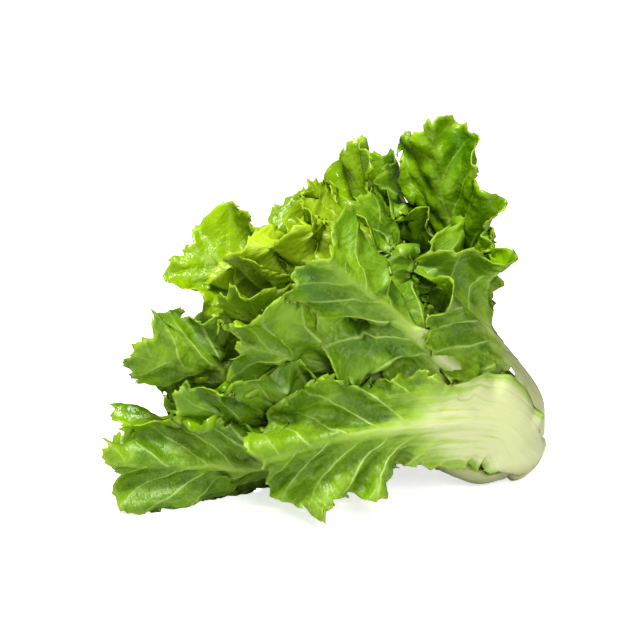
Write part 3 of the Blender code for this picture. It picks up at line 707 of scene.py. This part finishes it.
def filling(leaf, length, edge):
    """Points (u, v) inside the outline, in rows about SHEET_STEP apart."""
    flat_edge = np.column_stack(flat_place(leaf, length, *np.array(edge).T)[:2])
    rows = int(round(length / SHEET_STEP))
    points = []
    for row in range(1, rows + 1):
        v = row / (rows + FILL_BELOW_TIP)
        width = 2 * float(half_width(leaf, v)) * (1.0 + TIP_ROW_LONGER * v * v)
        count = max(1, int(round(width / SHEET_STEP)) - 1)
        row_u = np.linspace(-1, 1, count + 2)[1:-1] + (row % 2 - 0.5) / (count + 1)
        x, y, _ = flat_place(leaf, length, row_u, np.full(count, v))
        gaps = np.hypot(flat_edge[:, :1] - x, flat_edge[:, 1:] - y).min(axis=0)
        points += [(a, v) for a in row_u[gaps > FILL_TO_EDGE * SHEET_STEP]]
    return points


def leaf_sheet(leaf, length):
    """The flat leaf as (u, v) of each point, triangles between them, and how many points are on the edge."""
    edge = small_teeth(leaf, length, outline(leaf, length))
    uv = np.array(edge + filling(leaf, length, edge))
    x, y, _ = flat_place(leaf, length, uv[:, 0], uv[:, 1])
    made = geometry.delaunay_2d_cdt([Vector(p) for p in zip(x, y)], [], [list(range(len(edge)))], 1, 1e-6)
    source = [group[0] if group else None for group in made[3]]
    faces = [[source[i] for i in face] for face in made[2]]
    faces = [face for face in faces if None not in face]
    used = sorted({i for face in faces for i in face})
    number = {old: new for new, old in enumerate(used)}
    on_edge = sum(i < len(edge) for i in used)
    return uv[used], [[number[i] for i in face] for face in faces], on_edge


# %% [markdown]
# Between its veins an escarole blade swells into soft blisters, because the tissue outgrows the
# veins. They follow the leaf's surface by a rule, so Geometry Nodes make them: the node tree reads
# each point's place on the flat leaf, and moves it along the surface's normal. Veins that branch
# off the midrib every few millimetres are left as furrows between the blisters.

# %% One helper for all nodes
def add(tree, kind, inputs=None, output=None, **settings):
    """Adds a node with its settings, and sets or links its inputs. Gives the node, or one output of it."""
    node = tree.nodes.new(kind)
    for name, value in settings.items():
        setattr(node, name, value)
    for socket, source in (inputs or {}).items():
        if isinstance(source, bpy.types.NodeSocket):
            tree.links.new(source, node.inputs[socket])
        else:
            node.inputs[socket].default_value = source
    return node if output is None else node.outputs[output]


MATH = "ShaderNodeMath"
RANGE = "ShaderNodeMapRange"
NOISE = "ShaderNodeTexNoise"
MIX = "ShaderNodeMix"


# %% Side veins, the same for shape and colour
VEIN_PITCH = 21.0
VEIN_SLOPE = 1.5
VEIN_BEND = 0.008
VEIN_WANDER = 26.0
WANDER_SIZE = 45.0


def vein_distance(tree, across, along, flat, seed):
    """How far a point is from the nearest side vein, in millimetres, as a node output."""
    wander = {"Vector": flat, "Scale": 1 / WANDER_SIZE, "Detail": 2.0, "W": seed}
    wander = add(tree, NOISE, wander, 0, noise_dimensions="4D")
    shift = add(tree, MATH, {0: wander, 1: VEIN_WANDER, 2: along}, 0, operation="MULTIPLY_ADD")
    side = add(tree, MATH, {0: across}, 0, operation="ABSOLUTE")
    run = add(tree, MATH, {0: side, 1: -VEIN_SLOPE, 2: shift}, 0, operation="MULTIPLY_ADD")
    bend = add(tree, MATH, {0: side, 1: side}, 0, operation="MULTIPLY")
    run = add(tree, MATH, {0: bend, 1: VEIN_BEND, 2: run}, 0, operation="MULTIPLY_ADD")
    sign = add(tree, MATH, {0: across}, 0, operation="SIGN")
    run = add(tree, MATH, {0: sign, 1: VEIN_PITCH / 4, 2: run}, 0, operation="MULTIPLY_ADD")
    return add(tree, MATH, {0: run, 1: VEIN_PITCH / 2}, 0, operation="PINGPONG")


# %% Blisters between the veins
BLISTER_HEIGHT = 3.4
BLISTER_SIZE = 15.0
FURROW = 2.2


def blister_tree(finish):
    """Geometry Nodes that raise blisters and furrow the veins on a flat-mapped leaf."""
    tree = bpy.data.node_groups.new("leaf blisters", "GeometryNodeTree")
    sides = {"Height": BLISTER_HEIGHT, "Size": BLISTER_SIZE, "Furrow": FURROW, "Seed": 0.0}
    tree.interface.new_socket("Leaf", in_out="INPUT", socket_type="NodeSocketGeometry")
    for name, value in sides.items():
        tree.interface.new_socket(name, in_out="INPUT", socket_type="NodeSocketFloat").default_value = value
    tree.interface.new_socket("Leaf", in_out="OUTPUT", socket_type="NodeSocketGeometry")
    given = add(tree, "NodeGroupInput").outputs
    named = "GeometryNodeInputNamedAttribute"
    flat = add(tree, named, {"Name": "flat_mm"}, 0, data_type="FLOAT_VECTOR")
    blade = add(tree, named, {"Name": "blade"}, 0, data_type="FLOAT")
    parts = add(tree, "ShaderNodeSeparateXYZ", {0: flat}).outputs
    vein = vein_distance(tree, parts[0], parts[1], flat, given["Seed"])
    between = add(tree, RANGE, {0: vein, 1: 0.0, 2: VEIN_PITCH / 2}, 0, interpolation_type="SMOOTHSTEP")
    scale = add(tree, MATH, {0: 1.0, 1: given["Size"]}, 0, operation="DIVIDE")
    swell = {"Vector": flat, "Scale": scale, "Detail": 3.0, "Roughness": 0.55, "W": given["Seed"]}
    swell = add(tree, NOISE, swell, 0, noise_dimensions="4D")
    swell = add(tree, RANGE, {0: swell, 3: -1.5, 4: 1.5}, 0, clamp=False)
    height = add(tree, MATH, {0: swell, 1: given["Height"]}, 0, operation="MULTIPLY")
    height = add(tree, MATH, {0: between, 1: given["Furrow"], 2: height}, 0, operation="MULTIPLY_ADD")
    height = add(tree, MATH, {0: height, 1: blade}, 0, operation="MULTIPLY")
    height = add(tree, MATH, {0: height, 1: -MM}, 0, operation="MULTIPLY")
    normal = add(tree, "GeometryNodeInputNormal", None, 0)
    offset = add(tree, "ShaderNodeVectorMath", {0: normal, 3: height}, 0, operation="SCALE")
    moved = add(tree, "GeometryNodeSetPosition", {"Geometry": given["Leaf"], "Offset": offset}, 0)
    whole = add(tree, "GeometryNodeRealizeInstances", {0: moved}, 0)
    done = add(tree, "GeometryNodeSetMaterial", {"Geometry": whole, "Material": finish}, 0)
    add(tree, "NodeGroupOutput", {0: done})
    return tree


# %% [markdown]
# Leaf tissue is waxy, so it has a soft gloss, and thin, so light glows through it as a yellower
# green. A Principled shader gives the gloss, and a Translucent one beside it the glow. The petiole
# is thick and watery: pale, smooth, and with less glow. The leaf's outer side is duller than its
# inner side, and its veins stand out.

# %% Colours
def colour(code):
    """A linear colour from an sRGB hex value."""
    share = [int(code[i : i + 2], 16) / 255 for i in (1, 3, 5)]
    return (*[s / 12.92 if s <= 0.04045 else ((s + 0.055) / 1.055) ** 2.4 for s in share], 1.0)


# %% Leaf finishes
NET_SIZE = 2.6
GLOW_SHARE = 0.42
VEIN_HALF_WIDTH = 1.3
CRINKLE = 4.0
CRINKLE_SIZE = 4.5
UV_SCALE = 0.01
RIM_COLOUR = "#c3d84e"
TURNING_COLOUR = "#8aa83c"
PETIOLE_COLOUR = "#b4b88c"
PETIOLE_GLOW = "#e6e8c0"


def leaf_finish(name, greens, vein_colour, vein_show, roughness, glow_colour):
    """Waxy leaf tissue: green blade, pale veins, white petiole. greens run from deep to young."""
    material = bpy.data.materials.new(name)
    material.use_nodes = True
    tree = material.node_tree
    tree.nodes.clear()
    smooth = {"interpolation_type": "SMOOTHSTEP"}
    uv = add(tree, "ShaderNodeUVMap", None, 0, uv_map="flat")
    flat = add(tree, "ShaderNodeVectorMath", {0: uv, 3: 1.0 / UV_SCALE}, 0, operation="SCALE")
    parts = add(tree, "ShaderNodeSeparateXYZ", {0: flat}).outputs
    pale, youth, edge, seed, rim = (
        add(tree, "ShaderNodeAttribute", None, "Fac", attribute_name=kind)
        for kind in ("pale", "youth", "edge", "seed", "rim")
    )
    # Broad patches of deep and fresh green, and a younger green for the inner leaves
    patches = {"Vector": flat, "Scale": 1 / 22, "Detail": 3.0, "W": seed}
    patches = add(tree, NOISE, patches, 0, noise_dimensions="4D")
    deep, fresh, young = (colour(code) for code in greens)
    fresh_share = add(tree, RANGE, {0: patches, 1: 0.35, 2: 0.65}, 0, **smooth)
    green = add(tree, MIX, {0: fresh_share, 6: deep, 7: fresh}, 2, data_type="RGBA")
    green = add(tree, MIX, {0: youth, 6: green, 7: young}, 2, data_type="RGBA")
    # Side veins that branch off the midrib, strong near it and fading to the edge, and a fine net
    distance = vein_distance(tree, parts[0], parts[1], flat, seed)
    side_vein = add(tree, RANGE, {0: distance, 1: 0.3, 2: VEIN_HALF_WIDTH, 3: 1.0, 4: 0.0}, 0, **smooth)
    net = {"Vector": flat, "Scale": 1 / NET_SIZE}
    net = add(tree, "ShaderNodeTexVoronoi", net, 0, feature="DISTANCE_TO_EDGE")
    net = add(tree, RANGE, {0: net, 1: 0.0, 2: 0.2, 3: 0.16, 4: 0.0}, 0, **smooth)
    vein = add(tree, MATH, {0: side_vein, 1: net}, 0, operation="MAXIMUM")
    shown = add(tree, RANGE, {0: edge, 1: 0.1, 2: 1.0, 3: vein_show, 4: 0.2 * vein_show}, 0, **smooth)
    vein = add(tree, MATH, {0: vein, 1: shown}, 0, operation="MULTIPLY")
    green = add(tree, MIX, {0: vein, 6: green, 7: colour(vein_colour)}, 2, data_type="RGBA")
    green = add(tree, MIX, {0: rim, 6: green, 7: colour(RIM_COLOUR)}, 2, data_type="RGBA")
    # The petiole: green gives way to yellow-green and then to cream, in stripes along the fibres
    stretched = add(tree, "ShaderNodeVectorMath", {0: flat, 1: (0.35, 0.02, 1.0)}, 0, operation="MULTIPLY")
    fibres = add(tree, NOISE, {"Vector": stretched, "Scale": 1.0, "Detail": 3.0}, 0)
    stripes = add(tree, RANGE, {0: fibres, 3: -0.6, 4: 0.6}, 0, clamp=False)
    ragged = add(tree, RANGE, {0: patches, 3: -0.25, 4: 0.25}, 0, clamp=False)
    ragged = add(tree, MATH, {0: ragged, 1: stripes}, 0, operation="ADD")
    paleness = add(tree, MATH, {0: ragged, 1: pale}, 0, operation="ADD")
    turning = add(tree, RANGE, {0: paleness, 1: 0.0, 2: 0.55}, 0, **smooth)
    body = add(tree, MIX, {0: turning, 6: green, 7: colour(TURNING_COLOUR)}, 2, data_type="RGBA")
    white = add(tree, RANGE, {0: paleness, 1: 0.45, 2: 1.0}, 0, **smooth)
    body = add(tree, MIX, {0: white, 6: body, 7: colour(PETIOLE_COLOUR)}, 2, data_type="RGBA")
    # Fibres along the petiole and raised veins, as a slight bump
    fibres = add(tree, MATH, {0: fibres, 1: pale}, 0, operation="MULTIPLY")
    fibres = add(tree, MATH, {0: fibres, 1: 3.0}, 0, operation="MULTIPLY")
    crinkle = add(tree, NOISE, {"Vector": flat, "Scale": 1 / CRINKLE_SIZE, "Detail": 3.0}, 0)
    rise = add(tree, MATH, {0: crinkle, 1: CRINKLE, 2: vein}, 0, operation="MULTIPLY_ADD")
    only_blade = add(tree, RANGE, {0: pale, 1: 0.1, 2: 0.7, 3: 1.0, 4: 0.1}, 0, **smooth)
    rise = add(tree, MATH, {0: rise, 1: only_blade, 2: fibres}, 0, operation="MULTIPLY_ADD")
    bump = add(tree, "ShaderNodeBump", {"Height": rise, "Strength": 0.6, "Distance": 0.0006}, 0)
    skin = {"Base Color": body, "Roughness": roughness, "Specular IOR Level": 0.4, "Normal": bump}
    skin = add(tree, "ShaderNodeBsdfPrincipled", skin, 0)
    # Light that comes through the blade is a yellower green, and through the petiole almost white
    glow = add(tree, MIX, {0: 0.5, 6: green, 7: colour(glow_colour)}, 2, data_type="RGBA")
    glow = add(tree, MIX, {0: turning, 6: glow, 7: colour(PETIOLE_GLOW)}, 2, data_type="RGBA")
    through = add(tree, "ShaderNodeBsdfTranslucent", {"Color": glow, "Normal": bump}, 0)
    share = add(tree, RANGE, {0: pale, 1: 0.2, 2: 0.9, 3: GLOW_SHARE, 4: 0.2}, 0, **smooth)
    both = add(tree, "ShaderNodeMixShader", {0: share, 1: skin, 2: through}, 0)
    add(tree, "ShaderNodeOutputMaterial", {0: both})
    return material


outer_side = leaf_finish(
    "escarole leaf, outer side", ("#456e04", "#749814", "#a4bc1c"), "#c9dc84", 0.6, 0.38, "#c4dc00"
)
inner_side = leaf_finish(
    "escarole leaf, inner side", ("#4a7800", "#80a604", "#a4c010"), "#b4d250", 0.45, 0.26, "#c0dc00"
)
print("finishes:", outer_side.name, "and", inner_side.name)

# %% [markdown]
# Each leaf is now laid on its finer grid as one sheet of triangles, blistered, and thickened by
# Solidify, whose vertex group makes the midrib fleshy and the blade thin. The result is made a
# plain closed mesh that stands for the solid model's leaf of the same name.

# %% Make the leaves
VISIBLE_BLADE_THICK = 0.62
PETIOLE_FADE = (0.24, 0.66)
PALE_RIB_WIDTHS = (3.0, 15.0)
PALE_RIB_SPREAD = 0.6
PALE_RIB_FADE = 0.75
RIM_SHARE = 0.3
FIRST_YOUNG = 8
YOUTH_POWER = 2.5
YOUTH_CHANGE = (-0.1, 0.12)
SEED_STEP = 1.7


def tissue(leaf, rib, uv, edge_points):
    """For each point: how pale it is, how near the edge, how much it is blade, and how much it is rim."""
    u, v = uv.T
    across, _, _ = flat_place(leaf, rib.length, u, v)
    at_tip, more_at_foot = PALE_RIB_WIDTHS
    spread = PALE_RIB_SPREAD * (leaf.size * (at_tip + more_at_foot * np.clip(1 - v, 0, 1) ** 1.3))
    on_rib = np.exp(-((across / spread) ** 2))
    rib_share = on_rib * (1.0 - PALE_RIB_FADE * ease(0.35, 0.9, v))
    petiole = 1.0 - ease(*PETIOLE_FADE, v - 0.5 * leaf.late + 0.16 * np.abs(u) ** 2)
    wing = ease(0.72, 1.0, np.abs(u)) * ease(0.04, 0.16, v)
    pale = np.clip(np.maximum(petiole * (1.0 - 0.5 * wing), rib_share), 0, 1)
    edge = edge_nearness(leaf, u, v)
    blade = ease(0.2, 0.5, v) * (1.0 - on_rib)
    rim = np.where(np.arange(len(uv)) < edge_points, RIM_SHARE, 0.0) * ease(0.2, 0.4, v)
    return pale, edge, blade, rim


def visible_leaf(leaf, rib, grid, blisters, number):
    """One leaf as a plain closed mesh object."""
    uv, faces, on_edge = leaf_sheet(leaf, rib.length)
    at = (on_surface(grid, *uv.T) - HEAD_CENTRE) * MM
    sheet = bpy.data.meshes.new(leaf.name + " sheet")
    sheet.from_pydata(at.tolist(), [], faces)
    across, along, _ = flat_place(leaf, rib.length, *uv.T)
    flat = np.column_stack((across, along, np.full(len(uv), 0.0)))
    sheet.attributes.new("flat_mm", "FLOAT_VECTOR", "POINT").data.foreach_set("vector", flat.ravel())
    youth = np.clip((leaf.order - FIRST_YOUNG) / (len(leaves) - FIRST_YOUNG - 2), 0, 1) ** YOUTH_POWER
    youth = np.clip(youth + random.Random(leaf.name).uniform(*YOUTH_CHANGE), 0, 1)
    values = dict(zip(("pale", "edge", "blade", "rim"), tissue(leaf, rib, uv, on_edge)))
    seed = number * SEED_STEP
    values |= {"youth": np.full(len(uv), youth), "seed": np.full(len(uv), seed)}
    for name, value in values.items():
        sheet.attributes.new(name, "FLOAT", "POINT").data.foreach_set("value", np.asarray(value, np.float32))
    corners = np.array([loop.vertex_index for loop in sheet.loops])
    sheet.uv_layers.new(name="flat").data.foreach_set("uv", (flat[corners, :2] * UV_SCALE).ravel())
    solid = bpy.data.objects.new(leaf.name + " sheet", sheet)
    bpy.context.scene.collection.objects.link(solid)
    thick = thickness(leaf, rib.length, *uv.T) - BLADE_THICK + VISIBLE_BLADE_THICK
    group = solid.vertex_groups.new(name="thickness")
    for k, size in enumerate(thick):
        group.add([k], float(min(1.0, size / RIB_THICK_AT_FOOT)), "REPLACE")
    relief = solid.modifiers.new("blisters", "NODES")
    relief.node_group = blisters
    sockets = {item.name: item.identifier for item in blisters.interface.items_tree if item.in_out == "INPUT"}
    relief[sockets["Height"]] = BLISTER_HEIGHT * leaf.size
    relief[sockets["Furrow"]] = FURROW * leaf.size
    relief[sockets["Seed"]] = seed
    shell = solid.modifiers.new("leaf thickness", "SOLIDIFY")
    shell.thickness = RIB_THICK_AT_FOOT * MM
    shell.offset = 0.0
    shell.vertex_group = group.name
    graph = bpy.context.evaluated_depsgraph_get()
    mesh = bpy.data.meshes.new_from_object(solid.evaluated_get(graph))
    bpy.data.objects.remove(solid)
    for vertex in mesh.vertices:
        vertex.co.z = max(vertex.co.z, FLOOR_GAP * MM)
    mesh.name = leaf.name + " leaf"
    mesh.materials.clear()
    mesh.materials.append(outer_side)
    mesh.materials.append(inner_side)
    which = np.zeros(len(mesh.polygons), np.int32)
    which[len(faces) : 2 * len(faces)] = 1
    mesh.polygons.foreach_set("material_index", which)
    mesh.shade_smooth()
    piece = bpy.data.objects.new(leaf.name + "_look", mesh)
    bpy.context.scene.collection.objects.link(piece)
    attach(piece, "root")
    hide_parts(leaf.name)
    return piece


blisters = blister_tree(outer_side)
made = [
    visible_leaf(leaf, rib, grid, blisters, k) for k, (leaf, rib, grid) in enumerate(zip(leaves, ribs, fine))
]
faces_made = [sum(len(p.vertices) - 2 for p in piece.data.polygons) for piece in made]
print("leaves:", len(made), "with", sum(faces_made), "triangles, most in one", max(faces_made))

# %% [markdown]
# The crown is the cut stem. It is dense and pale, and its cut face has dried a little.

# %% Crown
STEM_COLOUR = "#dcd7ae"
BROWNED_COLOUR = "#c2b277"


def cut_stem_finish():
    """Moist cut stem tissue: cream, with a slightly browned cut."""
    material = bpy.data.materials.new("cut stem tissue")
    material.use_nodes = True
    tree = material.node_tree
    tree.nodes.clear()
    place = add(tree, "ShaderNodeTexCoord", None, "Object")
    noise = add(tree, NOISE, {"Vector": place, "Scale": 300.0, "Detail": 4.0}, 0)
    browned = add(tree, RANGE, {0: noise, 1: 0.35, 2: 0.7}, 0)
    body = {0: browned, 6: colour(STEM_COLOUR), 7: colour(BROWNED_COLOUR)}
    body = add(tree, MIX, body, 2, data_type="RGBA")
    skin = add(tree, "ShaderNodeBsdfPrincipled", {"Base Color": body, "Roughness": 0.5}, 0)
    add(tree, "ShaderNodeOutputMaterial", {0: skin})
    return material


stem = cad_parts["crown"]
stem.data.materials.clear()
stem.data.materials.append(cut_stem_finish())

# %% [markdown]
# The stage: a wide white floor, a sky that looks white but lights little, one lamp high in front
# on the left, and a weaker, wider one lower on the right. Sky and paper are brighter to the camera
# than as lights, so the background is white. The camera looks from a little above.

# %% Floor, light and camera
FLOOR = 2.4
CAMERA_UP = 15.0
CAMERA_AWAY = 1.2
LENS = 112.5
SKY = 0.14
FLOOR_GLOW = 0.6
LOOK_AT = Vector((0.0, 0.0, 0.1056)) - Vector(HEAD_CENTRE * MM)

floor_mesh = bpy.data.meshes.new("floor")
half = FLOOR / 2
floor_corners = [(-half, -half, 0), (half, -half, 0), (half, half, 0), (-half, half, 0)]
floor_mesh.from_pydata(floor_corners, [], [(0, 1, 2, 3)])
floor = bpy.data.objects.new("floor", floor_mesh)
white = bpy.data.materials.new("white studio paper")
white.use_nodes = True
paper = white.node_tree.nodes["Principled BSDF"]
paper.inputs["Base Color"].default_value = colour("#f4f4f4")
paper.inputs["Roughness"].default_value = 0.9
seen = add(white.node_tree, "ShaderNodeLightPath", None, "Is Camera Ray")
glow = add(white.node_tree, "ShaderNodeEmission", {"Strength": FLOOR_GLOW}, 0)
no_glow = add(white.node_tree, "ShaderNodeEmission", {"Strength": 0.0}, 0)
glow = add(white.node_tree, "ShaderNodeMixShader", {0: seen, 1: no_glow, 2: glow}, 0)
both = add(white.node_tree, "ShaderNodeAddShader", {0: paper.outputs[0], 1: glow}, 0)
white.node_tree.links.new(both, white.node_tree.nodes["Material Output"].inputs[0])
floor_mesh.materials.append(white)
bpy.context.scene.collection.objects.link(floor)

world = bpy.data.worlds.new("studio")
bpy.context.scene.world = world
world.use_nodes = True
sky = world.node_tree.nodes["Background"]
seen = add(world.node_tree, "ShaderNodeLightPath", None, "Is Camera Ray")
strength = add(world.node_tree, MATH, {0: seen, 1: 1.0 - SKY, 2: SKY}, 0, operation="MULTIPLY_ADD")
world.node_tree.links.new(strength, sky.inputs["Strength"])
sky.inputs["Color"].default_value = (1.0, 1.0, 1.0, 1.0)


def lamp(name, at, size, power, tint=(1.0, 1.0, 1.0)):
    """A square area lamp that points at the head."""
    light = bpy.data.lights.new(name, "AREA")
    light.size = size
    light.energy = power
    light.color = tint
    lamp_object = bpy.data.objects.new(name, light)
    lamp_object.location = at
    aim = Vector((0.0, 0.0, 0.1)) - Vector(at)
    lamp_object.rotation_euler = aim.to_track_quat("-Z", "Y").to_euler()
    bpy.context.scene.collection.objects.link(lamp_object)


lamp("key", (-0.2, -0.4, 1.05), 0.3, 20.0, (1.0, 0.99, 0.95))
lamp("front", (0.25, -1.0, 0.65), 0.4, 9.0)

camera_data = bpy.data.cameras.new("camera")
camera_data.lens = LENS
camera_data.sensor_width = 36.0
camera = bpy.data.objects.new("camera", camera_data)
up = math.radians(CAMERA_UP)
camera.location = LOOK_AT + CAMERA_AWAY * Vector((0.0, -math.cos(up), math.sin(up)))
camera.rotation_euler = (LOOK_AT - camera.location).to_track_quat("-Z", "Y").to_euler()
bpy.context.scene.collection.objects.link(camera)
bpy.context.scene.camera = camera
bpy.context.scene.view_settings.view_transform = "Standard"
bpy.context.scene.view_settings.look = "Medium High Contrast"
